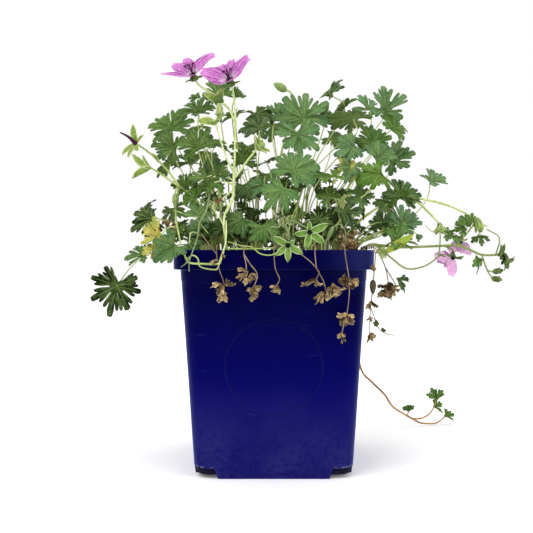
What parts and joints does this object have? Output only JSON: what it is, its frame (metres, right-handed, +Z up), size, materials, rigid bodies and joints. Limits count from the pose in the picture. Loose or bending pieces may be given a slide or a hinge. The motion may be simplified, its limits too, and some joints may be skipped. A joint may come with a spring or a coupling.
{
  "type": "hardy geranium in a nursery pot",
  "caption": "Hardy geranium with cut palmate leaves, open pink flowers and trailing stems, growing in a square tapered nursery pot.",
  "frame": {"origin": "middle of the pot's underside, on the surface it stands on", "axes": "+Z up, -Y towards the side with the raised ring, +X to the right of that side"},
  "size_m": [0.3476, 0.2247, 0.3278],
  "materials": {
    "pot": "satin",
    "soil": "matte",
    "leaf": "matte",
    "stem": "satin",
    "petal": "satin",
    "stamen": "matte",
    "yellow_leaf": "matte",
    "dry": "matte",
    "runner": "matte"
  },
  "bodies": {
    "root": {"pot": "pot", "leafy_stem_left_low": "leaf", "leafy_stem_left_front": "leaf", "leafy_stem_left_middle": "leaf", "leafy_stem_left_upper": "leaf", "leafy_stem_left_back": "leaf", "leafy_stem_middle_left": "leaf", "leafy_stem_middle": "leaf", "leafy_stem_middle_front": "leaf", "leafy_stem_front_low": "leaf", "leafy_stem_front_right": "leaf", "leafy_stem_middle_right": "leaf", "leafy_stem_right_upper": "leaf", "leafy_stem_right_outer": "leaf", "leafy_stem_right_inner": "leaf", "leafy_stem_right_front": "leaf", "leafy_stem_right_low": "leaf", "leafy_stem_far_1": "leaf", "leafy_stem_far_2": "leaf", "leafy_stem_far_3": "leaf", "leafy_stem_far_4": "leaf", "leafy_stem_far_5": "leaf", "leafy_stem_far_6": "leaf", "leafy_stem_far_7": "leaf", "flowering_stem_main": "stem", "flowering_stem_left": "stem", "flowering_stem_top_bud": "stem", "star_calyx_right": "stem", "star_calyx_middle": "stem", "flowering_stem_right": "stem", "flowering_stem_horizontal": "stem", "looping_stalk": "stem", "flower_left_petals": "petal", "flower_left_stamens": "stamen", "flower_middle_petals": "petal", "flower_middle_stamens": "stamen", "flower_low_petals": "petal", "flower_low_stamens": "stamen", "flower_behind_petals": "petal", "flower_behind_stamens": "stamen", "withered_leaf_front_left": "dry", "withered_leaves_front_middle": "dry", "withered_leaf_front_centre": "dry", "withered_leaves_front_right": "dry", "withered_leaves_front_corner": "dry", "withered_leaf_corner": "dry", "withered_stalk_edge": "dry", "yellow_leaf": "yellow_leaf", "dry_clump": "dry", "runner": "runner", "soil": "soil"}
  },
  "joints": []
}
